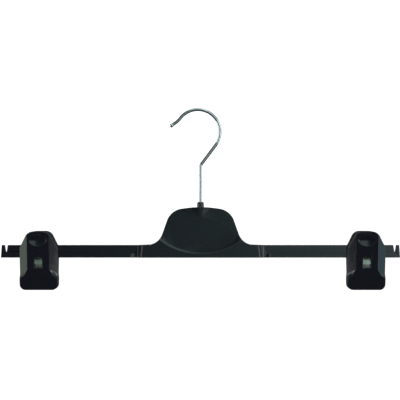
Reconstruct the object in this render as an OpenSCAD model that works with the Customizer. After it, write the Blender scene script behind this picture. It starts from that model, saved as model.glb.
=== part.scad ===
// Trouser and skirt hanger: a moulded bar with a crowned centre plate, a wire hook that
// swivels in it, and two spring clips that slide along its rails.
// The origin is where the shank's axis meets the inside of the hook, so it lies on the rail
// that the hanger hangs from. X runs along the bar, the show face looks along -Y, Z is up.

/* [Hook] */
// Diameter of the hook's wire
wire_d = 2.8; // [2.2:0.1:3.2]
// Inside diameter of the hook's loop
hook_gap = 36.2; // [30:0.2:48]
// How far the loop's centre stands off the shank's axis, towards its mouth
hook_lean = 2.3; // [0:0.1:6]
// Height of the loop's centre above the bend at the top of the shank
bend_drop = 29.5; // [27:0.5:40]
// Radius of that bend, at the wire's middle
bend_r = 3; // [2:0.5:6]
// Angle round the loop at which the wire turns outwards, from level on the closed side
mouth_angle = 142.5; // [120:0.5:165]
// Radius of the outward turn, at the wire's middle
lip_r = 20; // [8:1:30]
// Angle of the outward turn
lip_angle = 20; // [5:1:40]
// Straight end of the wire, up to the middle of its ball
lip_l = 3; // [1:0.5:10]
// Diameter of the ball that blunts the wire's end
ball_d = 3.5; // [3.3:0.1:6]
// Diameter of the head upset on the shank's lower end
head_d = 4.6; // [4:0.1:5.2]
// Thickness of that head
head_t = 1.6; // [1:0.1:3]
// Running clearance round the shank in its bore
shank_play = 0.05; // [0.02:0.01:0.1]

/* [Bar] */
// Length of the bar, end to end
bar_l = 350; // [290:5:430]
// Height of the bar
bar_h = 11; // [9:0.5:14]
// Distance from the inside of the hook down to the bar's middle
drop = 122.8; // [110:0.5:160]
// Thickness of the rails that the clips ride on
rail_t = 5; // [4:0.2:7]
// Length of the thicker middle of the bar, at mid height
centre_l = 102; // [94:0.5:125]
// Front of the thick middle, from the bar's mid plane
centre_front = 4.6; // [4.2:0.1:6]
// Back of the thick middle, from the bar's mid plane
centre_back = 4.4; // [4:0.1:6]
// Wall of the moulding
wall = 1.8; // [1.4:0.1:2.2]

/* [Centre plate] */
// Rise of the plate above the bar, at its middle
plate_h = 33.2; // [26:0.2:42]
// Width of the plate between its upper corners
plate_top_w = 52.4; // [44:0.2:66]
// Width of the plate where its sides run down to the bar
plate_foot_w = 73.8; // [66:0.2:82]
// Length of the level stretch at the plate's crown
crown_l = 13; // [12.6:0.2:18]
// Fall of the crown from its middle to the upper corners
crown_drop = 2.5; // [1:0.1:6]
// Radius where the level crown begins to fall
crown_r = 60; // [20:5:60]
// Radius of the upper corners
corner_r = 16; // [4:0.5:17]
// Radius of the hollow where the plate runs into the bar
foot_r = 14.5; // [6:0.5:18]
// Depth by which the label panel lies behind the bar's front
panel_sink = 1; // [0.4:0.1:1.4]
// Radius of the panel's smiling lower edge
smile_r = 57; // [50:1:80]
// Lowest point of that edge, from the bar's middle
smile_low = 0; // [-1:0.1:4]
// Width of the slope along that edge
smile_w = 2; // [1:0.1:3]
// Width of the blind slot near the bottom of the panel
slot_w = 5; // [3:0.1:8]
// Height of that slot
slot_h = 1.1; // [0.8:0.1:2]
// Diameter of the round ejector mark on the panel
mark_d = 3.6; // [2:0.1:5]
// Middle of that mark, right of the shank's axis
mark_x = 20.6; // [14:0.1:22]
// Height of that mark above the bar's middle
mark_up = 25.7; // [20:0.1:27]
// Depth of that mark
mark_sink = 0.15; // [0.05:0.05:0.3]
// Width of the shield below the neck
shield_w = 22; // [8:0.5:24]
// Length of the shield, down to its point
shield_l = 10.8; // [5:0.1:16]
// How far the shield swells in front of the panel
shield_proud = 1; // [0.4:0.1:1.2]
// Diameter of the neck that the shank stands in
neck_d = 6; // [5.2:0.1:8]
// Height of the neck
neck_h = 4.6; // [3:0.1:8]
// Diameter of the socket behind the plate
socket_d = 8.4; // [8:0.1:8.8]
// Depth of the socket, down from the plate's top
socket_l = 17; // [12:0.5:20]

/* [Rails] */
// Width of the steep slope from the middle towards each rail
slope_w = 2.6; // [2:0.1:5]
// Lean of that slope's inner edge from upright
slope_lean = 7; // [0:0.5:10]
// Width of the land between the two slopes
land_w = 1.1; // [0.5:0.1:3]
// Height of the land above the rail's face
land_h = 0.8; // [0.4:0.1:1.4]
// Width of the second slope, down to the rail
second_w = 1.5; // [1:0.1:3]
// Distance from the second slope to each inner stop
stop_gap = 1.6; // [0.5:0.1:6]
// Length of an inner stop
stop_l = 3.5; // [2:0.1:6]
// Height of an inner stop, up from the rail's lower edge
stop_h = 3.5; // [2:0.1:5]
// How far the stops stand proud of the rail's face
stop_proud = 0.9; // [0.8:0.1:1.4]
// Height of the groove along the rail's back
groove_h = 4.4; // [3:0.1:4.6]
// Depth of that groove
groove_d = 2.6; // [1.5:0.1:2.8]
// Space between the ribs across the groove
rib_step = 14; // [8:0.5:30]
// Thickness of the ribs
rib_t = 1.2; // [0.8:0.1:1.6]
// Width of a loop notch at its mouth
notch_w = 3; // [2.4:0.1:3.6]
// Width of a loop notch at its floor
notch_floor_w = 1.2; // [0.8:0.1:2]
// Depth of a loop notch
notch_d = 6; // [3:0.1:6.6]
// Width of the tooth outside the notch, at its top
tooth_w = 2.4; // [1.6:0.1:4]
// Slant of the tooth's outer edge
tooth_slant = 0.8; // [0:0.1:1.5]
// Set-back of the tooth's front
tooth_back = 0.8; // [0:0.1:1.5]

/* [Clips] */
// Middle of the left clip, in from its end of the bar
left_clip_in = 33.7; // [29.5:0.1:90]
// Middle of the right clip, in from its end of the bar
right_clip_in = 30.1; // [29.5:0.1:90]
// Width of a clip's jaws
jaw_w = 33.2; // [30:0.2:40]
// Rise of the jaws above the bar's middle
jaw_up = 17.7; // [15:0.1:24]
// Reach of the jaws below the bar's middle
jaw_down = 33.7; // [31:0.1:42]
// Width of the jaws' top
jaw_top_w = 17; // [16:0.2:26]
// Height above the bar's middle at which the shoulders begin
shoulder_up = 3.1; // [1:0.1:5]
// Radius of the jaws' lower corners
jaw_corner_r = 5.2; // [2:0.2:7]
// Radius of the jaws' upper corners
jaw_top_r = 8; // [2:0.2:8]
// Radius of the shoulders
shoulder_r = 5; // [2:0.2:8]
// Front of a jaw's top, from the bar's mid plane
jaw_top_y = 14; // [13:0.2:18]
// Front of a jaw's lower edge, from the bar's mid plane
jaw_tip_y = 5.2; // [5:0.1:7]
// Wall of the jaws
jaw_wall = 1.7; // [1.2:0.1:1.8]
// Width of the flat front between the side facets
front_w = 19.3; // [18.4:0.1:22]
// Slope of the side facets
facet_angle = 29.5; // [15:0.5:32]
// Where the facets begin to run out, down from the bar's middle
runout_down = 15.2; // [14.6:0.1:18]
// Distance between the facing lower edges of two jaws
jaw_gap = 0.6; // [0.4:0.1:1.5]
// Clearance between the jaws' sides and the rail
rail_play = 0.5; // [0.4:0.05:0.7]
// Length of the finger dimple, across the jaw
dimple_w = 15.6; // [10:0.2:16]
// Height of the finger dimple
dimple_h = 10.2; // [6:0.2:10.6]
// Depth of the finger dimple
dimple_d = 1.6; // [0.8:0.1:1.8]
// Middle of the dimple, up from the bar's middle
dimple_up = 10; // [9:0.1:12]
// Radius of the round noses on which a jaw rocks
nose_r = 1.5; // [1:0.1:1.6]
// Height of those noses above the bar's middle
nose_up = 3; // [2.4:0.1:3.4]
// Running clearance between a nose and the rail
nose_play = 0.05; // [0.02:0.01:0.1]
// Angle that a jaw opens by
open_angle = 15; // [10:1:15]

/* [Springs and pads] */
// Width of a spring's strip
spring_w = 8; // [7:0.1:8.4]
// Thickness of that strip
spring_t = 0.6; // [0.4:0.05:0.7]
// Inside radius of the spring's bow over the bar
bow_r = 3.3; // [3.2:0.1:4]
// Where the strip narrows to fit the window, down from the bar's middle
neck_down = 4.2; // [4.2:0.1:4.4]
// Clearance at either side of its end in the window
tongue_side = 0.1; // [0.1:0.05:0.4]
// Width of the window that shows the spring
window_w = 6.8; // [5:0.1:7.4]
// Top of the window, down from the bar's middle
window_top = 4.9; // [4.4:0.1:6]
// Bottom of the window, down from the bar's middle
window_low = 14.2; // [13:0.1:14.4]
// Height of the ledge in the window that the spring's end grips
ledge_h = 3.2; // [2:0.1:4]
// Depth of that ledge behind the jaw's front
ledge_sink = 1; // [0.8:0.05:1.1]
// Height of a grip pad
pad_h = 9.4; // [6:0.2:9.6]
// Clearance at a pad's sides
pad_side = 0.3; // [0.1:0.05:1]
// Clearance behind a pad, which the adhesive fills
glue_gap = 0.05; // [0:0.01:0.2]
// Distance between the facing pads of a closed clip
pad_gap = 0.2; // [0.1:0.05:0.5]
// Spacing of the ridges on a pad
ridge_step = 1.6; // [1:0.1:2.4]
// Depth of the grooves between them
ridge_d = 0.5; // [0.2:0.1:0.8]

/* [Hidden] */

$fn = 64;
far = 200;        // longer than anything that it has to cut through
cut = 1;          // how far a cut runs past the face that it starts from
lap = 0.1;        // overlap of two stretches of wire
skin = 0.01;      // by how much a lapping stretch is thinner, so that it lies inside
round_step = 6;   // widest angle between the points of an outline's round
round_chord = 1.3; // widest distance between them
turn_lap = 0.3;   // degrees by which the hook's lip laps its loop

// The hook
wire_r = wire_d / 2;
loop_r = hook_gap / 2 + wire_r;
loop_x = -hook_lean;
loop_z = -sqrt(pow(hook_gap / 2, 2) - pow(hook_lean, 2));
bend_z = loop_z - bend_drop;
bend_to_loop = norm([loop_x, bend_drop]);
leg_lean = atan2(loop_x, bend_drop) + asin(loop_r / bend_to_loop);
leg_l = sqrt(pow(bend_to_loop, 2) - pow(loop_r, 2));
bend_touch = bend_r * tan(leg_lean / 2);

// The bar and its plate
bar_z = -drop;
bar_top = bar_h / 2;
rail_f = rail_t / 2;
plate_top = bar_top + plate_h;
plate_front = centre_front - panel_sink;
side_run = (plate_foot_w - plate_top_w) / 2 / (plate_h - crown_drop);
side_lean = atan(side_run);
crown_lean = atan2(crown_drop, (plate_top_w - crown_l) / 2);
slope_x = centre_l / 2;
land_x = slope_x + slope_w;
second_x = land_x + land_w;
rail_x = second_x + second_w;
stop_x = rail_x + stop_gap;
bar_end = bar_l / 2;
notch_x = bar_end - tooth_slant - tooth_w - notch_w / 2;
head_play = 0.2;
chamber_w = head_d + 2 * head_play;
chamber_h = head_t + 2 * head_play;
chamber_floor = plate_top - socket_l + wall;
shank_end = bar_z + chamber_floor + head_play;

// The clips
stop_land = 0.2;
left_x = left_clip_in - bar_end;
right_x = bar_end - right_clip_in;
jaw_l = jaw_up + jaw_down;
jaw_tilt = atan2(jaw_top_y - jaw_tip_y, jaw_l);
nose_y = rail_f + nose_play + nose_r;
end_stop_x = notch_x - notch_w / 2 - stop_land - rib_t;
bow_z = bar_top - sqrt(pow(bow_r - nose_play, 2) - pow(rail_f, 2));
pad_w = jaw_w - 2 * jaw_wall - 2 * pad_side;
pad_low = jaw_down - jaw_wall - pad_side;
shelf_w = 1.2;
web_low = -window_low - 1;

// Distance of a jaw's flat front from the mid plane, at a height up from the bar's middle
function front_y(up) = jaw_tip_y + (up + jaw_down) * tan(jaw_tilt);

// Unit vector from a to b
function way(a, b) = (b - a) / norm(b - a);

// The points of a round of radius r at corner i of an outline
function round_points(pts, i, r) =
    let (n = len(pts), p = pts[i])
    let (u = way(p, pts[(i + n - 1) % n]), v = way(p, pts[(i + 1) % n]))
    let (half = acos(u * v) / 2, centre = p + way([0, 0], u + v) * r / sin(half))
    let (from = p + u * r / tan(half) - centre, to = p + v * r / tan(half) - centre)
    let (start = atan2(from[1], from[0]), turn = atan2(to[1], to[0]) - start)
    let (short = turn > 180 ? turn - 360 : turn < -180 ? turn + 360 : turn)
    let (steps = ceil(abs(short) / min(round_step, round_chord / r * 180 / PI)))
    [for (k = [0 : steps]) let (a = start + short * k / steps) centre + r * [cos(a), sin(a)]];

// An outline with a round of its own radius at each corner
module rounded(pts, radii) {
    polygon([for (i = [0 : len(pts) - 1])
             each (radii[i] > 0 ? round_points(pts, i, radii[i]) : [pts[i]])]);
}

// An outline seen from the front, between two distances behind the mid plane
module from_front(y0, y1) {
    translate([0, y1, 0]) rotate([90, 0, 0]) linear_extrude(y1 - y0) children();
}

// An outline of (Y, Z) points, between two places along X
module from_side(x0, x1) {
    translate([x0, 0, 0]) rotate([90, 0, 90]) linear_extrude(x1 - x0) children();
}

// Both of a pair, left and right
module both() {
    children();
    mirror([1, 0, 0]) children();
}

// An arc of wire in the hook's plane, between two angles
module wire_arc(centre, radius, a0, a1, r) {
    translate([centre[0], 0, centre[1]]) rotate([90, 0, 0]) rotate([0, 0, a0])
        rotate_extrude(angle = a1 - a0, $fn = 96) translate([radius, 0]) circle(r);
}

// The plate and the bar below it, seen from the front, moved in by a wall
module plate_outline(inset) {
    side_in = inset / cos(side_lean);
    top = plate_top - inset / cos(crown_lean);
    corner = [plate_top_w / 2 - side_in, top - crown_drop];
    foot = [plate_foot_w / 2 - side_in, bar_top];
    pts = [[-slope_x, -bar_top], [slope_x, -bar_top], [slope_x, bar_top],
           foot, corner, [crown_l / 2, top],
           [-crown_l / 2, top], [-corner[0], corner[1]], [-foot[0], foot[1]],
           [-slope_x, bar_top]];
    hollow = foot_r + inset;
    bulge = corner_r - inset;
    rounded(pts, [0, 0, 0, hollow, bulge, crown_r, crown_r, bulge, hollow, 0]);
}

// The bar seen from above, on one side, with the first slope still square
module bar_plan() {
    polygon([[-cut, -centre_front], [second_x - skin, -centre_front],
             [second_x - skin, -rail_f - land_h], [second_x, -rail_f - land_h],
             [rail_x, -rail_f], [bar_end, -rail_f], [bar_end, rail_f],
             [rail_x, rail_f], [land_x, centre_back], [-cut, centre_back]]);
}

// What is cut away over the first slope, whose edges lean inwards as they rise
module first_slope() {
    land_y = -rail_f - land_h;
    fall = atan2(centre_front + land_y, slope_w);
    intersection() {
        translate([slope_x, -centre_front, 0]) rotate([0, -slope_lean, 0])
            rotate([0, 0, fall]) translate([-slope_w, -far, -far / 2]) cube(far);
        translate([0, land_y - far, -bar_h]) cube([far, far, 2 * bar_h]);
    }
}

// The slot, its tooth's slant and its set-back at one end of the bar
module end_cuts() {
    floor_z = bar_top - notch_d + notch_floor_w / 2;
    from_front(-far / 2, far / 2) {
        polygon([[notch_x - notch_w / 2, bar_top], [notch_x - notch_w / 2, bar_top + cut],
                 [notch_x + notch_w / 2, bar_top + cut], [notch_x + notch_w / 2, bar_top],
                 [notch_x + notch_floor_w / 2, floor_z], [notch_x - notch_floor_w / 2, floor_z]]);
        translate([notch_x, floor_z]) circle(notch_floor_w / 2);
        polygon([[bar_end, -bar_top], [bar_end + cut, -bar_top], [bar_end + cut, bar_top + cut],
                 [bar_end - tooth_slant, bar_top + cut], [bar_end - tooth_slant, bar_top]]);
    }
    translate([notch_x, -rail_f - cut, -bar_top - cut])
        cube([notch_w + tooth_w + tooth_slant + cut, tooth_back + cut, bar_h + 2 * cut]);
}

// The groove along one rail's back, between its ribs
module rail_grooves() {
    start = rail_x + wall;
    length = notch_x - notch_w - start;
    count = max(1, floor(length / rib_step));
    pocket = length / count - rib_t;
    for (i = [0 : count - 1])
        translate([start + i * length / count, rail_f - groove_d, -groove_h / 2])
            cube([pocket, groove_d + cut, groove_h]);
}

// The wedge on one rail's face that stops a clip short of the slopes
module inner_stop() {
    crest_share = 0.75;
    crest = stop_x + crest_share * stop_l;
    translate([0, 0, -bar_top]) linear_extrude(stop_h)
        polygon([[stop_x, -rail_f + cut], [stop_x, -rail_f], [crest, -rail_f - stop_proud],
                 [stop_x + stop_l, -rail_f], [stop_x + stop_l, -rail_f + cut]]);
}

// The lug on one rail's back that keeps a clip from running off the end
module end_stop() {
    translate([end_stop_x, rail_f - cut, -bar_top]) cube([rib_t, cut + stop_proud, stop_h]);
}

// The hollow behind the plate, around the socket and between its ribs
module plate_hollow() {
    depth = plate_front - wall;
    rib_spaces = 5;
    rib_x = plate_top_w / rib_spaces;
    difference() {
        intersection() {
            from_front(-depth, centre_back + cut) plate_outline(wall);
            translate([-far / 2, -far / 2, bar_top]) cube([far, far, far]);
        }
        translate([0, 0, plate_top - socket_l]) cylinder(h = socket_l + cut, d = socket_d);
        for (x = [-2 * rib_x, -rib_x, rib_x, 2 * rib_x])
            translate([x - rib_t / 2, -depth - cut, 0])
                cube([rib_t, depth + centre_back - rib_t + cut, far]);
        translate([-rib_t / 2, -depth - cut, 0])
            cube([rib_t, depth + centre_back - rib_t + cut, plate_top - socket_l + cut]);
    }
}

// The pockets behind the thick middle of the bar
module middle_pockets() {
    count = 8;
    step = 2 * (slope_x - wall) / count;
    for (i = [0 : count - 1])
        translate([-slope_x + wall + i * step + rib_t / 2, wall - centre_front + panel_sink,
                   -bar_top + wall])
            cube([step - rib_t, far, bar_h - 2 * wall]);
}

// The low shield on the panel, below the neck: a flat cone that points down
module shield() {
    bed = 0.5;
    full = shield_proud + bed;
    bow = [for (a = [-1 : 0.25 : 1])
           [a * shield_w / 2, bed - plate_front - full * (1 - a * a)]];
    intersection() {
        translate([0, 0, plate_top]) hull() {
            linear_extrude(cut) polygon(bow);
            translate([0, bed - plate_front, -shield_l - bed])
                linear_extrude(bed) square([1, bed], center = true);
        }
        from_front(-far / 2, far / 2) plate_outline(0);
    }
}

// The neck with its rounded shoulder, from just inside the plate
module neck() {
    ease = 1.4;
    rotate_extrude() {
        difference() {
            translate([0, -wall]) square([neck_d / 2, neck_h + wall]);
            difference() {
                translate([neck_d / 2 - ease, neck_h - ease]) square(2 * ease);
                translate([neck_d / 2 - ease, neck_h - ease]) circle(ease);
            }
        }
    }
}

module hanger_body() {
    color("#1b1c1f") translate([0, 0, bar_z]) difference() {
        union() {
            difference() {
                union() {
                    both() translate([0, 0, -bar_top]) linear_extrude(bar_h) bar_plan();
                    from_front(-centre_front, centre_back) plate_outline(0);
                }
                // the label panel, with its sloping lower edge
                translate([0, -plate_front, smile_low + smile_r]) rotate([90, 0, 0])
                    cylinder(h = panel_sink, r1 = smile_r, r2 = smile_r + smile_w, $fn = 180);
                translate([0, -centre_front, smile_low + smile_r]) rotate([90, 0, 0])
                    cylinder(h = cut, r = smile_r + smile_w, $fn = 180);
                both() first_slope();
                plate_hollow();
                middle_pockets();
                both() rail_grooves();
            }
            both() inner_stop();
            both() end_stop();
            translate([0, 0, plate_top]) neck();
            shield();
        }
        both() end_cuts();
        translate([-slot_w / 2, -plate_front - cut, bar_top - slot_h / 2])
            cube([slot_w, cut + wall / 2, slot_h]);
        translate([mark_x, -plate_front - cut, mark_up]) rotate([-90, 0, 0])
            cylinder(h = cut + mark_sink, d = mark_d);
        // the bore for the shank, and the chamber for its head, open to the back
        translate([0, 0, chamber_floor + chamber_h / 2])
            cylinder(h = far, r = wire_r + shank_play);
        translate([0, 0, chamber_floor]) cylinder(h = chamber_h, d = chamber_w);
        translate([-chamber_w / 2, 0, chamber_floor]) cube([chamber_w, far, chamber_h]);
    }
}

module swivel_hook() {
    leg_top = [loop_x + loop_r * cos(leg_lean), loop_z - loop_r * sin(leg_lean)];
    lip_c = [loop_x + (loop_r + lip_r) * cos(mouth_angle),
             loop_z + (loop_r + lip_r) * sin(mouth_angle)];
    lip_end = mouth_angle - 180 - lip_angle;
    color("#b9bcc0") union() {
        wire_arc([loop_x, loop_z], loop_r, -leg_lean, mouth_angle, wire_r);
        // the lip turns outwards and ends in a ball
        wire_arc(lip_c, lip_r, lip_end, mouth_angle - 180 + turn_lap, wire_r - skin);
        translate([lip_c[0] + lip_r * cos(lip_end), 0, lip_c[1] + lip_r * sin(lip_end)])
            rotate([0, 180 - lip_end, 0]) {
                translate([0, 0, -lap]) cylinder(h = lip_l + lap, r = wire_r - 2 * skin);
                translate([0, 0, lip_l]) sphere(d = ball_d);
            }
        // the leg slants back to the shank's axis
        translate([leg_top[0], 0, leg_top[1]]) rotate([0, 180 + leg_lean, 0])
            translate([0, 0, -lap]) cylinder(h = leg_l - bend_touch + 2 * lap, r = wire_r - skin);
        wire_arc([bend_r, bend_z - bend_touch], bend_r, 180 - leg_lean, 180, wire_r);
        // the shank and the head that holds it in the socket
        translate([0, 0, shank_end])
            cylinder(h = bend_z - bend_touch - shank_end + lap, r = wire_r - skin);
        translate([0, 0, shank_end]) cylinder(h = head_t, d = head_d);
    }
}

// A jaw's outline from the front, moved in by a wall
module jaw_outline(inset) {
    lean = atan2((jaw_w - jaw_top_w) / 2, jaw_up - shoulder_up);
    half = jaw_w / 2 - inset;
    low = -jaw_down + inset;
    top = jaw_up - inset;
    top_half = jaw_top_w / 2 - inset * (1 - sin(lean)) / cos(lean);
    shoulder = shoulder_up - inset * (1 - cos(lean)) / sin(lean);
    pts = [[-half, low], [half, low], [half, shoulder],
           [top_half, top], [-top_half, top], [-half, shoulder]];
    radii = [jaw_corner_r, jaw_corner_r, shoulder_r, jaw_top_r, jaw_top_r, shoulder_r];
    rounded(pts, [for (r = radii) r - inset]);
}

// Puts things on a front jaw's flat front: Y runs into the jaw, Z up along the front
module on_front() {
    translate([0, -jaw_tip_y, -jaw_down]) rotate([jaw_tilt, 0, 0]) children();
}

// Place along the jaw's front, from its lower edge, of a height up from the bar's middle
function along(up) = (up + jaw_down) / cos(jaw_tilt);

// What is outside one of the planes in which a facet runs out towards the lower corner
module above_runout(x, down, fall, inset) {
    lean = 35;
    translate([x, 0, along(-down)]) rotate([0, fall, 0]) rotate([lean, 0, 0])
        translate([-far / 2, -far / 2, -inset]) cube(far);
}

// What a side facet takes off the right of a jaw, moved in by a wall
module facet_cut(inset) {
    steep = 61;
    flat = 34;
    run = 3;
    intersection() {
        translate([front_w / 2, 0, 0]) rotate([0, 0, facet_angle])
            translate([-far / 2, inset - far, -far / 2]) cube(far);
        above_runout(front_w / 2, runout_down, steep, inset);
        above_runout(front_w / 2 + run, runout_down + run * tan(steep), flat, inset);
    }
}

// A front jaw as a solid block with no parting face, moved in by a wall
module jaw_block(inset) {
    intersection() {
        from_front(-far / 4, far / 4) jaw_outline(inset);
        on_front() difference() {
            translate([-far / 2, inset, -far / 2]) cube(far);
            both() facet_cut(inset);
        }
    }
}

// The finger dimple: a shallow dish that is longer across the jaw, grown by a wall
module dimple(grow) {
    across_r = (pow(dimple_w / 2, 2) + pow(dimple_d, 2)) / (2 * dimple_d);
    along_r = (pow(dimple_h / 2, 2) + pow(dimple_d, 2)) / (2 * dimple_d);
    on_front() translate([0, dimple_d - along_r, along(dimple_up)]) rotate([0, 90, 0])
        rotate_extrude($fn = 96) intersection() {
            translate([along_r - across_r, 0]) circle(across_r + grow, $fn = 180);
            translate([0, -far / 2]) square([far, far]);
        }
}

// Everything in front of a front jaw's parting face, which is notched for the rail
module in_front_of_parting() {
    top_play = 0.2;
    opened = nose_y - jaw_gap / 2 - (jaw_up - nose_up) * sin(open_angle);
    top_y = nose_y - opened / cos(open_angle) + top_play;
    notch_y = rail_f + rail_play;
    relief = 0.5;
    swing_play = 0.3;
    lower = -bar_top - rail_play - swing_play;
    upper = bar_top + 3 * swing_play;
    from_side(-far / 2, far / 2)
        polygon([[-far, -far], [-jaw_gap / 2, -far], [-jaw_gap / 2, lower], [-notch_y, lower],
                 [-notch_y, nose_up], [-notch_y - relief, upper], [-top_y, jaw_up],
                 [-top_y, far], [-far, far]]);
}

// The two webs inside a front jaw, with the noses on which it rocks on the rail
module nose_webs() {
    web_t = 1.4;
    spring_side = 0.8;
    set_back = 1.6;
    rise = 4;
    web_x = spring_w / 2 + spring_side + web_t / 2;
    web_y = rail_f + rail_play + set_back;
    for (x = [-web_x, web_x])
        from_side(x - web_t / 2, x + web_t / 2) {
            polygon([[-far / 4, web_low], [-web_y, web_low], [-web_y, nose_up - nose_r],
                     [-nose_y, nose_up - nose_r], [-nose_y, nose_up + nose_r],
                     [-far / 4, nose_up + nose_r + rise]]);
            translate([-nose_y, nose_up]) circle(nose_r);
        }
}

// The shelf above the pad, and a rib across the jaw below its window
module cross_ribs() {
    pad_top = -pad_low + pad_h + pad_side;
    shelf_y = 1;
    rib_y = rail_f + 2;
    for (rib = [[pad_top, shelf_y], [web_low - shelf_w, rib_y]])
        translate([-far / 2, -far / 4, rib[0]])
            cube([far, far / 4 - rib[1], shelf_w]);
}

// The window in a front jaw, and the ledge that a spring's end lies on
module window_cut() {
    ledge_top = along(-window_low + ledge_h);
    bottom = along(-window_low);
    top = along(-window_top);
    on_front() {
        translate([-window_w / 2, -cut, bottom]) cube([window_w, cut + ledge_sink, top - bottom]);
        translate([-window_w / 2, -cut, ledge_top])
            cube([window_w, cut + 3 * jaw_wall, top - ledge_top]);
    }
}

module front_jaw() {
    color("#15161a") difference() {
        union() {
            intersection() {
                difference() {
                    jaw_block(0);
                    difference() {
                        jaw_block(jaw_wall);
                        dimple(jaw_wall);
                    }
                }
                in_front_of_parting();
            }
            intersection() {
                jaw_block(jaw_wall / 2);
                nose_webs();
            }
            intersection() {
                jaw_block(jaw_wall / 2);
                cross_ribs();
                in_front_of_parting();
            }
        }
        dimple(0);
        window_cut();
    }
}

// A soft pad in the lower edge of a front jaw, ridged across its face
module front_pad() {
    face_y = -pad_gap / 2;
    count = floor(pad_h / ridge_step);
    step = pad_h / count;
    rise = 0.3;
    ridges = [for (i = [0 : count - 1]) for (p = [[rise, 0], [1 - rise, 0], [1, -ridge_d]])
              [face_y + p[1], -pad_low + (i + p[0]) * step]];
    side = concat([[-far / 4, -pad_low], [face_y - ridge_d, -pad_low]], ridges,
                  [[-far / 4, -pad_low + pad_h]]);
    color("#2c2d30") intersection() {
        from_side(-pad_w / 2, pad_w / 2) polygon(side);
        jaw_block(jaw_wall + glue_gap);
    }
}

// Half of a spring seen from the side: bow, leg, and the end that lies on the ledge
module spring_half() {
    mid_r = bow_r + spring_t / 2;
    end_gap = 0.15;
    ledge_up = -window_low + ledge_h + end_gap;
    ledge_y = front_y(ledge_up) - ledge_sink / cos(jaw_tilt) + glue_gap + spring_t / 2;
    reach = [ledge_y, bow_z - ledge_up];
    lean = atan2(reach[0], reach[1]) - asin(mid_r / norm(reach));
    leg = sqrt(reach * reach - mid_r * mid_r);
    difference() {
        translate([0, bow_z]) circle(mid_r + spring_t / 2);
        translate([0, bow_z]) circle(bow_r);
        translate([0, -far]) square(2 * far);
        translate([0, bow_z]) rotate(-lean) translate([-far, -far]) square([2 * far, far]);
    }
    translate([-ledge_y, ledge_up]) {
        rotate(-lean) translate([-spring_t / 2, 0]) square([spring_t, leg + skin]);
        circle(d = spring_t);
        rotate(180 + jaw_tilt) translate([-spring_t / 2, 0])
            square([spring_t, ledge_h - 2 * end_gap]);
    }
}

module spring() {
    tongue_w = window_w - 2 * tongue_side;
    color("#8f9390") intersection() {
        from_side(-spring_w / 2, spring_w / 2) {
            spring_half();
            mirror([1, 0]) spring_half();
        }
        from_front(-far / 2, far / 2) {
            translate([-far / 2, -neck_down]) square(far);
            translate([-tongue_w / 2, -neck_down - far]) square([tongue_w, far + cut]);
        }
    }
}

// Puts a clip's piece at its place on the bar
module at_clip(x) {
    translate([x, 0, bar_z]) children();
}

module rear() {
    mirror([0, 1, 0]) children();
}

module left_front_jaw() at_clip(left_x) front_jaw();
module left_rear_jaw() at_clip(left_x) rear() front_jaw();
module left_spring() at_clip(left_x) spring();
module left_front_pad() at_clip(left_x) front_pad();
module left_rear_pad() at_clip(left_x) rear() front_pad();
module right_front_jaw() at_clip(right_x) front_jaw();
module right_rear_jaw() at_clip(right_x) rear() front_jaw();
module right_spring() at_clip(right_x) spring();
module right_front_pad() at_clip(right_x) front_pad();
module right_rear_pad() at_clip(right_x) rear() front_pad();

hanger_body();
swivel_hook();
left_front_jaw();
left_rear_jaw();
left_spring();
left_front_pad();
left_rear_pad();
right_front_jaw();
right_rear_jaw();
right_spring();
right_front_pad();
right_rear_pad();
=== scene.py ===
"""Trouser and skirt hanger: the looks of its moulded bar, wire hook and two spring clips.

Every piece is made in metres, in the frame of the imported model: X runs along the bar, the show
face looks along -Y and Z is up. The origin is where the hook lies on its rail.
"""

import math

import bmesh
import bpy
from bpy.props import FloatProperty, FloatVectorProperty, PointerProperty
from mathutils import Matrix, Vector


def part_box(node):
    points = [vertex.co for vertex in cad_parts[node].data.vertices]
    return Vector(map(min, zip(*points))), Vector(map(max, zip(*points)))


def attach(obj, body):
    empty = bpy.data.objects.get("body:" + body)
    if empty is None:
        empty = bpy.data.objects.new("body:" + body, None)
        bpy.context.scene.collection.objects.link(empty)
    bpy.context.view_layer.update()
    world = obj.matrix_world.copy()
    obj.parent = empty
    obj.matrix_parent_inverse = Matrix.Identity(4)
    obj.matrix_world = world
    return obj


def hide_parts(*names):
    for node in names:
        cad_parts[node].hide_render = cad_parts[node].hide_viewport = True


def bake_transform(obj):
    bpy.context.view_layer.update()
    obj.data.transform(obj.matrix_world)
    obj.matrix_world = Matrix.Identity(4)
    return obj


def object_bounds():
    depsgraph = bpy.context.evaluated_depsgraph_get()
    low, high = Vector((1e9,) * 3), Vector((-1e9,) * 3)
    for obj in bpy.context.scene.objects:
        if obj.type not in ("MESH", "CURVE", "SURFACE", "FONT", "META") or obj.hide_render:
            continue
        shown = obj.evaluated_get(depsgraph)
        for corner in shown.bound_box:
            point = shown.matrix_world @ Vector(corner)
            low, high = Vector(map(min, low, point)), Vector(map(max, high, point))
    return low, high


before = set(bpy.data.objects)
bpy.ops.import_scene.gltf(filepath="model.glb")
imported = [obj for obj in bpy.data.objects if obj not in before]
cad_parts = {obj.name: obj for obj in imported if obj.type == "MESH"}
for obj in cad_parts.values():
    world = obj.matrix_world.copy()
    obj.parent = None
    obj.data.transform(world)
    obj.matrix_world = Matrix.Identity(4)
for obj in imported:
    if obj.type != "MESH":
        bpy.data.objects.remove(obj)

bl_info = {
    "name": "Trouser Hanger",
    "version": (1, 0, 0),
    "blender": (4, 5, 0),
    "location": "3D View > Sidebar > Hanger",
    "description": "Makes a trouser and skirt hanger with a swivelling hook and two spring clips",
    "category": "Add Mesh",
}

CAD_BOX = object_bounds()
MM = 0.001
SIDES = ("left", "right")


# Colours and nodes


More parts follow.
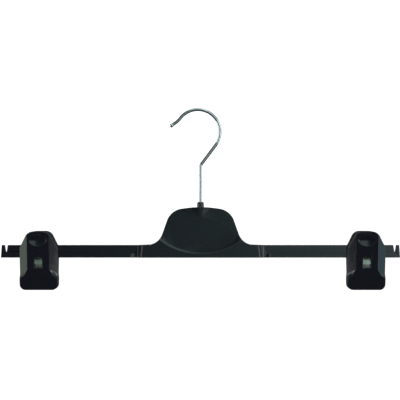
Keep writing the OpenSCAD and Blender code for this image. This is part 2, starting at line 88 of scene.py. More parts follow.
def linear(code):
    """The linear RGBA of an sRGB hex colour such as "#1A2B3C"."""
    shares = [int(code[i:i + 2], 16) / 255 for i in (1, 3, 5)]
    return [c / 12.92 if c <= 0.04045 else ((c + 0.055) / 1.055) ** 2.4 for c in shares] + [1.0]


def add_node(tree, kind, values=None, **settings):
    """A new node with its settings; values fill its inputs, each with a constant or from an output."""
    made = tree.nodes.new(kind)
    for name, value in settings.items():
        setattr(made, name, value)
    for name, value in (values or {}).items():
        if isinstance(value, bpy.types.NodeSocket):
            tree.links.new(value, made.inputs[name])
        else:
            made.inputs[name].default_value = value
    return made


def new_material(name):
    """An empty node material, and its tree."""
    material = bpy.data.materials.new(name)
    material.use_nodes = True
    material.node_tree.nodes.clear()
    return material, material.node_tree


def stretched(tree, source, sizes):
    """Coordinates in which one unit is the given real size in metres along X, Y and Z."""
    mapping = add_node(tree, "ShaderNodeMapping", {"Vector": source})
    mapping.inputs["Scale"].default_value = [1 / size for size in sizes]
    return mapping.outputs["Vector"]


def close_surface(tree, shader):
    """Joins a shader to the material's output."""
    output = add_node(tree, "ShaderNodeOutputMaterial")
    tree.links.new(shader, output.inputs["Surface"])


def moulded_polystyrene(name, colour, worn_colour):
    """High-impact polystyrene from a polished mould, full of carbon black.

    The eye sees a nearly black, wet-looking gloss whose reflections waver a little over the
    mould's ripple, faint rubbing marks along the bar, and duller, greyer edges.
    """
    ripple = 9 * MM
    grain = 0.35 * MM  # drawn several times as coarse as it is, so that it shows
    scratch = (6 * MM, 0.5 * MM, 0.5 * MM)  # the marks are finer; this is the least that shows
    material, tree = new_material(name)
    place = add_node(tree, "ShaderNodeTexCoord").outputs["Object"]
    waves = add_node(tree, "ShaderNodeTexNoise",
                     {"Vector": stretched(tree, place, [ripple] * 3), "Scale": 1, "Detail": 1})
    specks = add_node(tree, "ShaderNodeTexNoise",
                      {"Vector": stretched(tree, place, [grain] * 3), "Scale": 1, "Detail": 2})
    rubs = add_node(tree, "ShaderNodeTexNoise",
                    {"Vector": stretched(tree, place, scratch), "Scale": 1, "Detail": 3})
    rubbed = add_node(tree, "ShaderNodeMapRange", {
        "Value": rubs.outputs["Fac"], "From Min": 0.58, "From Max": 0.74, "To Max": 0.10})
    edge = add_node(tree, "ShaderNodeAttribute", attribute_name="edge_wear")
    wear = add_node(tree, "ShaderNodeMath",
                    {0: edge.outputs["Fac"], 1: specks.outputs["Fac"]}, operation="MULTIPLY")
    tint = add_node(tree, "ShaderNodeMix", {
        "Factor": wear.outputs["Value"], 6: colour, 7: worn_colour}, data_type="RGBA")
    gloss = add_node(tree, "ShaderNodeMapRange", {
        "Value": specks.outputs["Fac"], "From Min": 0.3, "From Max": 0.7,
        "To Min": 0.09, "To Max": 0.15})
    marked = add_node(tree, "ShaderNodeMath",
                      {0: gloss.outputs["Result"], 1: rubbed.outputs["Result"]}, operation="ADD")
    roughness = add_node(tree, "ShaderNodeMath", {
        0: wear.outputs["Value"], 1: 0.22, 2: marked.outputs["Value"]}, operation="MULTIPLY_ADD")
    rippled = add_node(tree, "ShaderNodeBump", {
        "Height": waves.outputs["Fac"], "Strength": 0.5, "Distance": 0.02 * MM})
    grained = add_node(tree, "ShaderNodeBump", {
        "Height": specks.outputs["Fac"], "Strength": 0.25, "Distance": 0.004 * MM,
        "Normal": rippled.outputs["Normal"]})
    shader = add_node(tree, "ShaderNodeBsdfPrincipled", {
        "Base Color": tint.outputs[2], "Roughness": roughness.outputs["Value"], "IOR": 1.59,
        "Normal": grained.outputs["Normal"]})
    close_surface(tree, shader.outputs["BSDF"])
    return material


def plated_wire(name, colour):
    """Drawn steel wire, bent and then bright nickel-chrome plated.

    The eye sees a mirror with a thin dark core between bright flanks; the die's drawing lines
    run along the wire and soften it a little.
    """
    material, tree = new_material(name)
    along = add_node(tree, "ShaderNodeUVMap", uv_map="wire").outputs["UV"]
    die_line = 0.22 * MM  # coarser than the die leaves it, so that it shows
    lines = add_node(tree, "ShaderNodeTexNoise", {
        "Vector": stretched(tree, along, (die_line, 30 * MM, 1)), "Scale": 1, "Detail": 2})
    spots = add_node(tree, "ShaderNodeTexNoise", {
        "Vector": stretched(tree, along, (2 * MM, 3 * MM, 1)), "Scale": 1, "Detail": 3})
    both = add_node(tree, "ShaderNodeMath", {
        0: lines.outputs["Fac"], 1: spots.outputs["Fac"]}, operation="MULTIPLY")
    roughness = add_node(tree, "ShaderNodeMapRange", {
        "Value": both.outputs["Value"], "From Min": 0.1, "From Max": 0.5,
        "To Min": 0.07, "To Max": 0.2})
    drawn = add_node(tree, "ShaderNodeBump", {
        "Height": lines.outputs["Fac"], "Strength": 0.3, "Distance": 0.004 * MM})
    shader = add_node(tree, "ShaderNodeBsdfPrincipled", {
        "Base Color": colour, "Metallic": 1, "Roughness": roughness.outputs["Result"],
        "Normal": drawn.outputs["Normal"]})
    close_surface(tree, shader.outputs["BSDF"])
    return material


def rolled_spring_steel(name, colour, dark_colour):
    """Cold-rolled, hardened spring strip with its thin temper film left on.

    The eye sees a warm satin grey with fine rolling lines along the strip and cloudy film.
    """
    material, tree = new_material(name)
    place = add_node(tree, "ShaderNodeTexCoord").outputs["Object"]
    line = 0.3 * MM  # rolling lines are finer; this is the least that shows
    lines = add_node(tree, "ShaderNodeTexNoise", {
        "Vector": stretched(tree, place, (line, 12 * MM, 12 * MM)), "Scale": 1, "Detail": 3})
    film = add_node(tree, "ShaderNodeTexNoise", {
        "Vector": stretched(tree, place, [3 * MM] * 3), "Scale": 1, "Detail": 3})
    cloud = add_node(tree, "ShaderNodeMapRange", {
        "Value": film.outputs["Fac"], "From Min": 0.45, "From Max": 0.75, "To Max": 0.6})
    tint = add_node(tree, "ShaderNodeMix", {
        "Factor": cloud.outputs["Result"], 6: colour, 7: dark_colour}, data_type="RGBA")
    roughness = add_node(tree, "ShaderNodeMapRange", {
        "Value": lines.outputs["Fac"], "From Min": 0.3, "From Max": 0.7,
        "To Min": 0.28, "To Max": 0.44})
    rolled = add_node(tree, "ShaderNodeBump", {
        "Height": lines.outputs["Fac"], "Strength": 0.5, "Distance": 0.01 * MM})
    shader = add_node(tree, "ShaderNodeBsdfPrincipled", {
        "Base Color": tint.outputs[2], "Metallic": 1, "Roughness": roughness.outputs["Result"],
        "Normal": rolled.outputs["Normal"]})
    close_surface(tree, shader.outputs["BSDF"])
    return material


def soft_pvc(name, colour, chalk_colour):
    """Plasticised PVC, pressed in a matt mould.

    The eye sees a dull, slightly greasy charcoal with a chalky bloom in patches.
    """
    material, tree = new_material(name)
    place = add_node(tree, "ShaderNodeTexCoord").outputs["Object"]
    skin = add_node(tree, "ShaderNodeTexNoise", {
        "Vector": stretched(tree, place, [0.4 * MM] * 3), "Scale": 1, "Detail": 4})
    bloom = add_node(tree, "ShaderNodeTexNoise", {
        "Vector": stretched(tree, place, [5 * MM] * 3), "Scale": 1, "Detail": 2})
    tint = add_node(tree, "ShaderNodeMix", {
        "Factor": bloom.outputs["Fac"], 6: colour, 7: chalk_colour}, data_type="RGBA")
    roughness = add_node(tree, "ShaderNodeMapRange", {
        "Value": skin.outputs["Fac"], "To Min": 0.5, "To Max": 0.72})
    pressed = add_node(tree, "ShaderNodeBump", {
        "Height": skin.outputs["Fac"], "Strength": 0.4, "Distance": 0.03 * MM})
    shader = add_node(tree, "ShaderNodeBsdfPrincipled", {
        "Base Color": tint.outputs[2], "Roughness": roughness.outputs["Result"], "IOR": 1.53,
        "Normal": pressed.outputs["Normal"]})
    close_surface(tree, shader.outputs["BSDF"])
    return material


def background_paper(name, colour):
    """Seamless studio paper, which gives the eye an even, slightly toothy white."""
    material, tree = new_material(name)
    place = add_node(tree, "ShaderNodeTexCoord").outputs["Object"]
    tooth = add_node(tree, "ShaderNodeTexNoise", {
        "Vector": stretched(tree, place, [1.5 * MM] * 3), "Scale": 1, "Detail": 2})
    pulp = add_node(tree, "ShaderNodeBump", {
        "Height": tooth.outputs["Fac"], "Strength": 0.2, "Distance": 0.05 * MM})
    shader = add_node(tree, "ShaderNodeBsdfPrincipled", {
        "Base Color": colour, "Roughness": 0.9, "Normal": pulp.outputs["Normal"]})
    close_surface(tree, shader.outputs["BSDF"])
    return material


# Meshes


def link_mesh(name, mesh, material):
    """A new object for a mesh, with its material."""
    piece = bpy.data.objects.new(name, mesh)
    bpy.context.scene.collection.objects.link(piece)
    mesh.materials.clear()
    mesh.materials.append(material)
    return piece


def shade(piece, crease=35):
    """Smooth shading that keeps the flats flat and breaks at edges sharper than the crease."""
    piece.data.shade_smooth()
    piece.data.set_sharp_from_angle(angle=math.radians(crease))
    weighted = piece.modifiers.new("flats stay flat", "WEIGHTED_NORMAL")
    weighted.keep_sharp = True
    weighted.weight = 50


def mark_edge_wear(mesh):
    """Marks the corners on rounded edges for the finish to rub, then clears the rounds' own mark."""
    rounds = bmesh.new()
    rounds.from_mesh(mesh)
    wear = rounds.loops.layers.float.new("edge_wear")
    for face in rounds.faces:
        for corner in face.loops:
            inside = all(f.material_index == 1 for f in corner.vert.link_faces)
            corner[wear] = 1.0 if face.material_index == 1 and inside else 0.0
    for face in rounds.faces:
        face.material_index = 0
    rounds.to_mesh(mesh)
    rounds.free()


def room_at(edge, share=0.4, parallel=0.9):
    """The widest round for which the edges that cross an edge's ends leave room.

    parallel is the cosine past which an edge runs along and doesn't cross.
    """
    along = (edge.verts[1].co - edge.verts[0].co).normalized()
    across = [other.calc_length() for vert in edge.verts for other in vert.link_edges
              if abs((other.verts[1].co - other.verts[0].co).normalized().dot(along)) < parallel]
    return share * min(across, default=math.inf)


def rounded_copy(node, name, material, radius, least_angle=18, segments=3):
    """A copy of a CAD node whose convex edges have the small round that a mould gives them."""
    weld = 0.002 * MM
    flat = math.radians(0.5)
    body = bmesh.new()
    body.from_mesh(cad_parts[node].data)
    bmesh.ops.remove_doubles(body, verts=body.verts, dist=weld)
    bmesh.ops.dissolve_limit(body, angle_limit=flat, verts=body.verts, edges=body.edges)
    # a round can pull a many-cornered flat across itself, but not a triangle
    bmesh.ops.triangulate(body, faces=[face for face in body.faces if len(face.verts) > 4])
    body.normal_update()
    radii = {}
    for edge in body.edges:
        if edge.is_manifold and edge.calc_face_angle_signed() > math.radians(least_angle):
            radii[edge.index] = min(radius, room_at(edge))
    weight = body.edges.layers.float.new("bevel_weight_edge")
    for edge in body.edges:
        edge[weight] = radii.get(edge.index, 0) / radius
    mesh = bpy.data.meshes.new(name)
    body.to_mesh(mesh)
    body.free()
    piece = link_mesh(name, mesh, material)
    mesh.materials.append(material)
    bevel = piece.modifiers.new("rounds", "BEVEL")
    bevel.limit_method = "WEIGHT"
    bevel.width = radius
    bevel.segments = segments
    bevel.material = 1
    bevel.use_clamp_overlap = False
    bpy.context.view_layer.update()
    made = piece.evaluated_get(bpy.context.evaluated_depsgraph_get())
    rounded = bpy.data.meshes.new_from_object(made)
    rounded.name = name
    piece.modifiers.clear()
    piece.data = rounded
    mark_edge_wear(rounded)
    rounded.materials.clear()
    rounded.materials.append(material)
    shade(piece)
    return piece


def arc(centre, radius, start, end, step):
    """Points of an arc in the XZ plane, from one angle to another, with a point each step of length."""
    count = max(2, math.ceil(abs(end - start) * radius / step))
    angles = [start + (end - start) * i / count for i in range(count + 1)]
    return [centre + radius * Vector((math.cos(a), 0, math.sin(a))) for a in angles]


def swept_wire(name, stations, around=20):
    """A closed round bar through stations, each a point in the XZ plane, a direction and a radius."""
    wire = bmesh.new()
    uv = wire.loops.layers.uv.new("wire")
    rings = []
    length = 0
    last = stations[0][0]
    for point, direction, radius in stations:
        length += (point - last).length
        last = point
        side = direction.cross(Vector((0, 1, 0)))
        turns = [math.tau * i / around for i in range(around)]
        ring = [wire.verts.new(point + radius * (math.cos(a) * side + math.sin(a) * Vector((0, 1, 0))))
                for a in turns]
        rings.append((ring, length, radius))
    for (ring, start, r0), (after, end, r1) in zip(rings, rings[1:]):
        for i in range(around):
            j = (i + 1) % around
            face = wire.faces.new((ring[i], ring[j], after[j], after[i]))
            girth = math.tau * max(r0, r1) / around
            for corner, (u, v) in zip(face.loops, ((i, start), (i + 1, start), (i + 1, end), (i, end))):
                corner[uv].uv = (u * girth, v)
    for ring in (rings[0][0], rings[-1][0]):
        wire.faces.new(ring)
    bmesh.ops.recalc_face_normals(wire, faces=wire.faces)
    mesh = bpy.data.meshes.new(name)
    wire.to_mesh(mesh)
    wire.free()
    return mesh


# Sizes and colours


class HangerMouldingSizes(bpy.types.PropertyGroup):
    """Edge rounds and colours of the injection-moulded pieces"""

    edge: FloatProperty(
        name="Edge round", description="Radius that the mould leaves on the bar's edges",
        default=0.3 * MM, min=0.1 * MM, max=0.4 * MM, precision=5, unit="LENGTH")
    jaw_edge: FloatProperty(
        name="Jaw edge", description="Radius that the mould leaves on a jaw's edges",
        default=0.35 * MM, min=0.1 * MM, max=0.5 * MM, precision=5, unit="LENGTH")
    colour: FloatVectorProperty(
        name="Polystyrene", description="Colour of the hanger's plastic", subtype="COLOR",
        size=4, min=0, max=1, default=linear("#080A11"))
    worn: FloatVectorProperty(
        name="Rubbed edge", description="Colour of the plastic where its edges are rubbed",
        subtype="COLOR", size=4, min=0, max=1, default=linear("#2B2D30"))


class HangerHookSizes(bpy.types.PropertyGroup):
    """Sizes of the bent wire hook"""

    wire: FloatProperty(
        name="Wire", description="Diameter of the wire",
        default=2.8 * MM, min=2.2 * MM, max=3.2 * MM, precision=5, unit="LENGTH")
    gap: FloatProperty(
        name="Loop", description="Inside diameter of the loop",
        default=36.2 * MM, min=30 * MM, max=48 * MM, precision=5, unit="LENGTH")
    bend_drop: FloatProperty(
        name="Loop above bend", description="Height of the loop's centre above the shank's bend",
        default=29.5 * MM, min=27 * MM, max=40 * MM, precision=5, unit="LENGTH")
    bend: FloatProperty(
        name="Bend", description="Radius of the bend above the shank, at the wire's middle",
        default=3 * MM, min=2 * MM, max=6 * MM, precision=5, unit="LENGTH")
    mouth: FloatProperty(
        name="Mouth", description="Angle round the loop at which the wire turns outwards",
        default=math.radians(142.5), min=math.radians(120), max=math.radians(165), unit="ROTATION")
    lip: FloatProperty(
        name="Lip", description="Radius of the outward turn, at the wire's middle",
        default=20 * MM, min=8 * MM, max=30 * MM, precision=5, unit="LENGTH")
    lip_turn: FloatProperty(
        name="Lip turn", description="Angle of the outward turn",
        default=math.radians(20), min=math.radians(5), max=math.radians(40), unit="ROTATION")
    lip_end: FloatProperty(
        name="Lip end", description="Straight end of the wire, up to the middle of its ball",
        default=3 * MM, min=1 * MM, max=10 * MM, precision=5, unit="LENGTH")
    ball: FloatProperty(
        name="Ball", description="Diameter of the ball that blunts the wire's end",
        default=3.5 * MM, min=3.3 * MM, max=6 * MM, precision=5, unit="LENGTH")
    head: FloatProperty(
        name="Head", description="Diameter of the head upset on the shank",
        default=4.6 * MM, min=4 * MM, max=5.2 * MM, precision=5, unit="LENGTH")
    head_depth: FloatProperty(
        name="Head depth", description="Thickness of that head",
        default=1.6 * MM, min=1 * MM, max=3 * MM, precision=5, unit="LENGTH")
    colour: FloatVectorProperty(
        name="Plating", description="Colour of the nickel-chrome plating", subtype="COLOR",
        size=4, min=0, max=1, default=linear("#D3D8DA"))


class HangerSpringSizes(bpy.types.PropertyGroup):
    """Sizes of the bent strip that holds a clip together"""

    strip: FloatProperty(
        name="Strip", description="Width of the strip over the bar",
        default=8 * MM, min=7 * MM, max=8.4 * MM, precision=5, unit="LENGTH")
    tongue: FloatProperty(
        name="Tongue", description="Width of the strip's ends, which show in the windows",
        default=6.6 * MM, min=4.4 * MM, max=6.8 * MM, precision=5, unit="LENGTH")
    thickness: FloatProperty(
        name="Thickness", description="Thickness of the strip",
        default=0.6 * MM, min=0.4 * MM, max=0.7 * MM, precision=5, unit="LENGTH")
    bow: FloatProperty(
        name="Bow", description="Inside radius of the bow over the bar",
        default=3.3 * MM, min=3.2 * MM, max=4 * MM, precision=5, unit="LENGTH")
    tab: FloatProperty(
        name="Tab", description="Length of the end that lies on the jaw's ledge",
        default=2.9 * MM, min=1.7 * MM, max=3.7 * MM, precision=5, unit="LENGTH")
    tilt: FloatProperty(
        name="Tab tilt", description="Lean of the jaw's front, which the tab follows",
        default=math.radians(9.72), min=0, max=math.radians(20), unit="ROTATION")
    neck_drop: FloatProperty(
        name="Neck", description="Drop from the bow's top to where the strip narrows",
        default=11.2 * MM, min=8 * MM, max=14.4 * MM, precision=5, unit="LENGTH")
    nick: FloatProperty(
        name="Nick", description="How much of a tab is nicked away at its outer side",
        default=0.9 * MM, min=0, max=2 * MM, precision=5, unit="LENGTH")
    colour: FloatVectorProperty(
        name="Spring steel", description="Colour of the strip", subtype="COLOR",
        size=4, min=0, max=1, default=linear("#A9ADA3"))
    film: FloatVectorProperty(
        name="Temper film", description="Colour of the film left by tempering", subtype="COLOR",
        size=4, min=0, max=1, default=linear("#787A6F"))


class HangerPadSizes(bpy.types.PropertyGroup):
    """Edge round and colours of the grip pads"""

    edge: FloatProperty(
        name="Edge round", description="Radius on the ridges of a pad",
        default=0.12 * MM, min=0.05 * MM, max=0.2 * MM, precision=5, unit="LENGTH")
    colour: FloatVectorProperty(
        name="PVC", description="Colour of the pads", subtype="COLOR",
        size=4, min=0, max=1, default=linear("#1D1E20"))
    bloom: FloatVectorProperty(
        name="Bloom", description="Colour of the chalky bloom on the pads", subtype="COLOR",
        size=4, min=0, max=1, default=linear("#303133"))


class HangerStageSizes(bpy.types.PropertyGroup):
    """Camera, floor and light"""

    distance: FloatProperty(
        name="Camera distance", description="Distance of the camera from the bar",
        default=1.1, min=0.5, max=3, unit="LENGTH")
    view_width: FloatProperty(
        name="View width", description="Width that the camera sees at the bar",
        default=0.351, min=0.3, max=1, unit="LENGTH")
    view_side: FloatProperty(
        name="View side", description="How far right of the shank's axis the view's middle is",
        default=-0.44 * MM, min=-0.1, max=0.1, precision=5, unit="LENGTH")
    view_drop: FloatProperty(
        name="View drop", description="Distance from the rail down to the middle of the view",
        default=77.8 * MM, min=0, max=0.2, unit="LENGTH")
    floor_drop: FloatProperty(
        name="Floor drop", description="Distance from the hanger's lowest point to the floor",
        default=0.24, min=0.01, max=1.5, unit="LENGTH")
    floor_width: FloatProperty(
        name="Floor width", description="Width of the floor",
        default=24, min=2, max=40, unit="LENGTH")
    paper: FloatVectorProperty(
        name="Paper", description="Colour of the floor", subtype="COLOR",
        size=4, min=0, max=1, default=linear("#FAFAF8"))


# Pieces


def stands_for(piece, node, body):
    """Makes a piece stand for a CAD node, which it hides, and ride on its body."""
    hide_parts(node)
    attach(piece, body)


class HANGER_OT_body_moulding(bpy.types.Operator):
    """Make the bar with its centre plate, neck and rails"""

    bl_idname = "hanger.body_moulding"
    bl_label = "Body moulding"

    def execute(self, context):
        sizes = context.scene.hanger_moulding
        plastic = moulded_polystyrene("moulded polystyrene, bar", sizes.colour, sizes.worn)
        piece = rounded_copy("hanger_body", "bar_moulding", plastic, sizes.edge)
        stands_for(piece, "hanger_body", "frame")
        return {"FINISHED"}


class HANGER_OT_swivel_hook(bpy.types.Operator):
    """Make the plated wire hook with its ball and its head"""

    bl_idname = "hanger.swivel_hook"
    bl_label = "Swivel hook"

    def execute(self, context):
        sizes = context.scene.hanger_hook
        low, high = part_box("swivel_hook")
        wire = sizes.wire / 2
        step = 0.9 * MM
        loop = sizes.gap / 2 + wire
        centre = Vector((high.x - loop - wire, 0, high.z - loop - wire))
        to_bend = Vector((-centre.x, 0, -sizes.bend_drop))
        lean = math.atan2(centre.x, sizes.bend_drop) + math.asin(loop / to_bend.length)
        bend_z = centre.z - sizes.bend_drop
        touch = sizes.bend * math.tan(lean / 2)
        lip_centre = centre + (loop + sizes.lip) * Vector(
            (math.cos(sizes.mouth), 0, math.sin(sizes.mouth)))
        path = [Vector((0, 0, low.z)), Vector((0, 0, low.z + sizes.head_depth))]
        path += [Vector((0, 0, bend_z - touch))]
        path += arc(Vector((sizes.bend, 0, bend_z - touch)), sizes.bend, math.pi,
                    math.pi - lean, step / 2)
        path += arc(centre, loop, -lean, sizes.mouth, step)
        path += arc(lip_centre, sizes.lip, sizes.mouth - math.pi,
                    sizes.mouth - math.pi - sizes.lip_turn, step)[1:]
        stations = self.stations(path, sizes, wire)
        mesh = swept_wire("wire_hook", stations)
        plating = plated_wire("plated steel wire", sizes.colour)
        piece = link_mesh("wire_hook", mesh, plating)
        shade(piece, crease=50)
        stands_for(piece, "swivel_hook", "hook")
        return {"FINISHED"}

    def stations(self, path, sizes, wire):
        """Point, direction and radius along the wire, from the head at its foot to its ball."""
        made = []
        up = Vector((0, 0, 1))
        head = sizes.head / 2
        ease = 0.25 * MM
        ball_steps = 12
        ball_end = math.radians(176)
        foot, neck = path[0], path[1]
        for height, radius in ((0, head - ease), (0.3 * ease, head - 0.3 * ease), (ease, head)):
            made.append((foot + height * up, up, radius))
        made.append((neck - ease * up, up, head))
        made.append((neck - 0.3 * ease * up, up, head - 0.3 * ease))
        made.append((neck, up, head - ease))
        made.append((neck, up, wire + ease))
        made.append((neck + ease * up, up, wire))
        for i in range(2, len(path) - 1):
            direction = (path[i + 1] - path[i - 1]).normalized()
            made.append((path[i], direction, wire))
        end = path[-1]
        direction = (end - path[-2]).normalized()
        ball = sizes.ball / 2
        entry = math.asin(wire / ball)
        made.append((end, direction, wire))
        middle = end + sizes.lip_end * direction
        for i in range(ball_steps + 1):
            turn = entry + (ball_end - entry) * i / ball_steps
            made.append((middle - ball * math.cos(turn) * direction, direction,
                         ball * math.sin(turn)))
        return made


class HANGER_OT_clip_jaws(bpy.types.Operator):
    """Make the front and rear jaws of both clips"""

    bl_idname = "hanger.clip_jaws"
    bl_label = "Clip jaws"

    def execute(self, context):
        sizes = context.scene.hanger_moulding
        plastic = moulded_polystyrene("moulded polystyrene, jaws", sizes.colour, sizes.worn)
        for side in SIDES:
            for place in ("front", "rear"):
                node = f"{side}_{place}_jaw"
                piece = rounded_copy(node, f"{node}_shell", plastic, sizes.jaw_edge)
                stands_for(piece, node, f"{side}_{place}")
        return {"FINISHED"}


class HANGER_OT_clip_springs(bpy.types.Operator):
    """Make both springs, each as two halves of one strip"""

    bl_idname = "hanger.clip_springs"
    bl_label = "Clip springs"

    def execute(self, context):
        sizes = context.scene.hanger_spring
        steel = rolled_spring_steel("rolled spring steel", sizes.colour, sizes.film)
        for side, outward in zip(SIDES, (-1, 1)):
            node = f"{side}_spring"
            for place, facing in (("front", -1), ("rear", 1)):
                name = f"{side}_spring_{place}_half"
                mesh, bow, knee = self.half_strip(name, sizes, node, facing, outward)
                piece = link_mesh(name, mesh, steel)
                shade(piece)
                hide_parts(node)
                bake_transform(piece)
        return {"FINISHED"}

    def half_strip(self, name, sizes, node, facing, outward):
        """Half of a spring's strip, from the top of its bow to the end of its tab."""
        bow_steps, leg_steps = 10, 16
        knee_round = 0.25 * MM
        tab_shares = (0.3, 0.6, 0.9, 1.0)
        low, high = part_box(node)
        middle_x = (low.x + high.x) / 2
        half = sizes.thickness / 2
        radius = sizes.bow + half
        bow = Vector((middle_x, 0, high.z - sizes.bow - sizes.thickness))
        knee = Vector((middle_x, high.y - half,
                       low.z + sizes.tab * math.cos(sizes.tilt) + half * math.sin(sizes.tilt)))
        reach = knee - bow
        lean = math.atan2(reach.y, -reach.z) - math.asin(radius / reach.length)
        turns = [math.pi / 2 - i * (math.pi / 2 + lean) / bow_steps for i in range(bow_steps + 1)]
        path = [bow + radius * Vector((0, math.cos(a), math.sin(a))) for a in turns]
        leg = knee - path[-1]
        path += [path[-1] + leg * i / leg_steps for i in range(1, leg_steps)]
        down = Vector((0, -math.sin(sizes.tilt), -math.cos(sizes.tilt)))
        path += [knee - knee_round * leg.normalized(), knee + knee_round * down]
        path += [knee + sizes.tab * down * share for share in tab_shares]
        strip = bmesh.new()
        rows = []
        for i, point in enumerate(path):
            before = path[max(0, i - 1)]
            after = path[min(len(path) - 1, i + 1)]
            way = Vector((0, 1, 0)) if i == 0 else (after - before).normalized()
            out = Vector((0, -way.z, way.y))
            wide = self.width_at(point, path[0], sizes)
            nick = sizes.nick if point.z < knee.z - 0.8 * knee_round else 0
            left = -wide + (nick if outward < 0 else 0)
            right = wide - (nick if outward > 0 else 0)
            corners = [(left, half), (right, half), (right, -half), (left, -half)]
            rows.append([strip.verts.new(self.faced(point + x * Vector((1, 0, 0)) + y * out,
                                                    facing)) for x, y in corners])
        for row, after in zip(rows, rows[1:]):
            for i in range(4):
                j = (i + 1) % 4
                strip.faces.new((row[i], row[j], after[j], after[i]))
        for row in (rows[0], rows[-1]):
            strip.faces.new(row)
        bmesh.ops.recalc_face_normals(strip, faces=strip.faces)
        mesh = bpy.data.meshes.new(name)
        strip.to_mesh(mesh)
        strip.free()
        return mesh, self.faced(path[bow_steps], facing), self.faced(knee, facing)

    def width_at(self, point, top, sizes):
        """Half the strip's width at a point: full over the bar, and narrowed for the window."""
        ease = 0.8 * MM
        drop = top.z - point.z - sizes.neck_drop
        share = min(1, max(0, drop / ease))
        return (sizes.strip * (1 - share) + sizes.tongue * share) / 2

    def faced(self, point, facing):
        """A point of the rear half, or its mirror image on the front half."""
        return Vector((point.x, facing * point.y, point.z))


class HANGER_OT_grip_pads(bpy.types.Operator):
    """Make the ridged pads in the jaws' lower edges"""

    bl_idname = "hanger.grip_pads"
    bl_label = "Grip pads"

    def execute(self, context):
        sizes = context.scene.hanger_pads
        pvc = soft_pvc("soft pvc", sizes.colour, sizes.bloom)
        for side in SIDES:
            for place in ("front", "rear"):
                node = f"{side}_{place}_pad"
                piece = rounded_copy(node, f"{node}_grip", pvc, sizes.edge, segments=2)
                stands_for(piece, node, f"{side}_{place}")
        return {"FINISHED"}


# Stage


def soft_panel(name, place, aim, size, radiance, tint):
    """A softbox with an even face of a given radiance, which the camera doesn't see itself."""
    light = bpy.data.lights.new(name, "AREA")
    light.shape = "RECTANGLE"
    light.size, light.size_y = size
    light.energy = radiance * size[0] * size[1] * math.pi
    light.color = linear(tint)[:3]
    panel = bpy.data.objects.new(name, light)
    bpy.context.scene.collection.objects.link(panel)
    panel.location = place
    panel.rotation_mode = "QUATERNION"
    panel.rotation_quaternion = (aim - place).to_track_quat("-Z", "Y")
    panel.visible_camera = False


def studio_world():
    """Even white light, but for reflections a dim room whose front wall brightens to the right."""
    dim = linear("#3F4347")
    white_strength = 1.25
    # share of the way from far left to far right, and the front wall's colour there
    stops = ((0.0, "#595959"), (0.42, "#484A50"), (0.5, "#6E8580"), (0.544, "#9CB4AC"),
             (0.578, "#D8EDF0"), (0.83, "#D8EDF0"), (0.87, "#595959"))
    world = bpy.data.worlds.new("studio")
    world.use_nodes = True
    tree = world.node_tree
    tree.nodes.clear()
    way = add_node(tree, "ShaderNodeTexCoord").outputs["Generated"]
    parts = add_node(tree, "ShaderNodeSeparateXYZ", {"Vector": way})
    across = add_node(tree, "ShaderNodeMapRange", {
        "Value": parts.outputs["X"], "From Min": -1})
    wall = add_node(tree, "ShaderNodeValToRGB", {"Fac": across.outputs["Result"]})
    marks = wall.color_ramp.elements
    while len(marks) < len(stops):
        marks.new(0.5)
    for mark, (share, colour) in zip(marks, stops):
        mark.position = share
        mark.color = linear(colour)
    ahead = add_node(tree, "ShaderNodeMapRange", {
        "Value": parts.outputs["Y"], "From Min": -0.1, "From Max": -0.4},
        interpolation_type="SMOOTHSTEP")
    raised = add_node(tree, "ShaderNodeMapRange", {
        "Value": parts.outputs["Z"], "From Min": -0.35, "From Max": -0.15},
        interpolation_type="SMOOTHSTEP")
    lit = add_node(tree, "ShaderNodeMath", {
        0: ahead.outputs["Result"], 1: raised.outputs["Result"]}, operation="MULTIPLY")
    seen = add_node(tree, "ShaderNodeMix", {
        "Factor": lit.outputs["Value"], 6: dim, 7: wall.outputs["Color"]},
        data_type="RGBA")
    room = add_node(tree, "ShaderNodeBackground", {"Color": seen.outputs[2], "Strength": 1})
    white = add_node(tree, "ShaderNodeBackground", {
        "Color": linear("#FFFFFF"), "Strength": white_strength})
    path = add_node(tree, "ShaderNodeLightPath")
    mix = add_node(tree, "ShaderNodeMixShader", {"Fac": path.outputs["Is Glossy Ray"]})
    tree.links.new(white.outputs["Background"], mix.inputs[1])
    tree.links.new(room.outputs["Background"], mix.inputs[2])
    output = add_node(tree, "ShaderNodeOutputWorld")
    tree.links.new(mix.outputs["Shader"], output.inputs["Surface"])
    bpy.context.scene.world = world


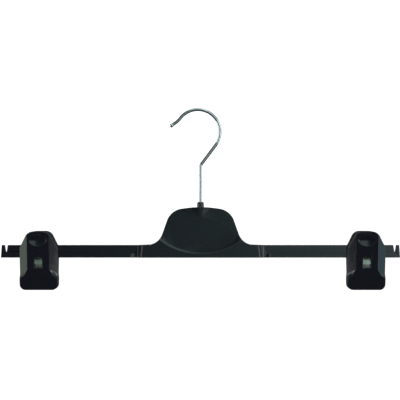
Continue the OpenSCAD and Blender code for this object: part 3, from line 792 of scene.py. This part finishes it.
class HANGER_OT_studio(bpy.types.Operator):
    """Make the floor, the softboxes and the camera"""

    bl_idname = "hanger.studio"
    bl_label = "Studio"

    def execute(self, context):
        sizes = context.scene.hanger_stage
        aim = Vector((sizes.view_side, 0, -sizes.view_drop))
        self.make_floor(sizes)
        studio_world()
        reach = 1.6
        # name, azimuth to the right and elevation in degrees, width and height, radiance, tint
        panels = (
            ("left strip", -58, 5, (0.22, 1.6), 3.2, "#FFFFFF"),
            ("left softbox", -77, 5, (0.6, 1.8), 1.5, "#E8FFE6"),
            ("left side sheet", -110, 5, (1.2, 1.8), 0.8, "#FFFFFF"),
            ("right strip", 58, 5, (0.22, 1.6), 3.6, "#FFFFFF"),
            ("right softbox", 77, 5, (0.6, 1.8), 0.85, "#C4F4FF"),
            ("right side sheet", 110, 5, (1.2, 1.8), 0.8, "#FFFFFF"),
            ("high front fill", 0, 46, (1.6, 0.6), 0.3, "#B8F0E0"),
            ("top softbox", 0, 75, (1.2, 0.6), 1.5, "#FFFFFF"),
            ("back softbox", 180, 60, (1.2, 0.5), 1.2, "#FFFFFF"))
        for name, azimuth, elevation, size, radiance, tint in panels:
            turn, rise = math.radians(azimuth), math.radians(elevation)
            way = Vector((math.sin(turn) * math.cos(rise), -math.cos(turn) * math.cos(rise),
                          math.sin(rise)))
            soft_panel(name, aim + reach * way, aim, size, radiance, tint)

        camera = bpy.data.cameras.new("camera")
        camera.sensor_width = 36
        camera.lens = camera.sensor_width * sizes.distance / sizes.view_width
        camera.clip_start = 0.05
        camera.clip_end = 60
        eye = bpy.data.objects.new("camera", camera)
        context.scene.collection.objects.link(eye)
        eye.location = aim - Vector((0, sizes.distance, 0))
        eye.rotation_euler = (math.pi / 2, 0, 0)
        context.scene.camera = eye
        context.scene.view_settings.view_transform = "Standard"
        return {"FINISHED"}

    def make_floor(self, sizes):
        """A wide sheet of paper below the hanger, kept out of its reflections."""
        half = sizes.floor_width / 2
        floor_z = CAD_BOX[0].z - sizes.floor_drop
        mesh = bpy.data.meshes.new("floor")
        corners = [(-half, -half, floor_z), (half, -half, floor_z),
                   (half, half, floor_z), (-half, half, floor_z)]
        mesh.from_pydata(corners, [], [(0, 1, 2, 3)])
        floor = link_mesh("floor", mesh, background_paper("seamless paper", sizes.paper))
        floor.visible_glossy = False


# The add-on


PIECES = (HANGER_OT_body_moulding, HANGER_OT_swivel_hook, HANGER_OT_clip_jaws,
          HANGER_OT_clip_springs, HANGER_OT_grip_pads, HANGER_OT_studio)
SIZES = {"hanger_moulding": HangerMouldingSizes, "hanger_hook": HangerHookSizes,
         "hanger_spring": HangerSpringSizes, "hanger_pads": HangerPadSizes,
         "hanger_stage": HangerStageSizes}


class HANGER_PT_pieces(bpy.types.Panel):
    """Lists the hanger's pieces with their sizes"""

    bl_idname = "HANGER_PT_pieces"
    bl_label = "Trouser hanger"
    bl_space_type = "VIEW_3D"
    bl_region_type = "UI"
    bl_category = "Hanger"

    def draw(self, context):
        for operator in PIECES:
            self.layout.operator(operator.bl_idname)
        for name, group in SIZES.items():
            box = self.layout.box()
            box.label(text=group.bl_rna.description)
            for size in group.__annotations__:
                box.prop(getattr(context.scene, name), size)


def register():
    for group in SIZES.values():
        bpy.utils.register_class(group)
    for made in (*PIECES, HANGER_PT_pieces):
        bpy.utils.register_class(made)
    for name, group in SIZES.items():
        setattr(bpy.types.Scene, name, PointerProperty(type=group))


def unregister():
    for name in SIZES:
        delattr(bpy.types.Scene, name)
    for made in (HANGER_PT_pieces, *reversed(PIECES)):
        bpy.utils.unregister_class(made)
    for group in SIZES.values():
        bpy.utils.unregister_class(group)


def main():
    """Makes every piece and the stage."""
    register()
    bpy.ops.hanger.body_moulding()
    bpy.ops.hanger.swivel_hook()
    bpy.ops.hanger.clip_jaws()
    bpy.ops.hanger.clip_springs()
    bpy.ops.hanger.grip_pads()
    bpy.ops.hanger.studio()


if __name__ == "__main__":
    main()
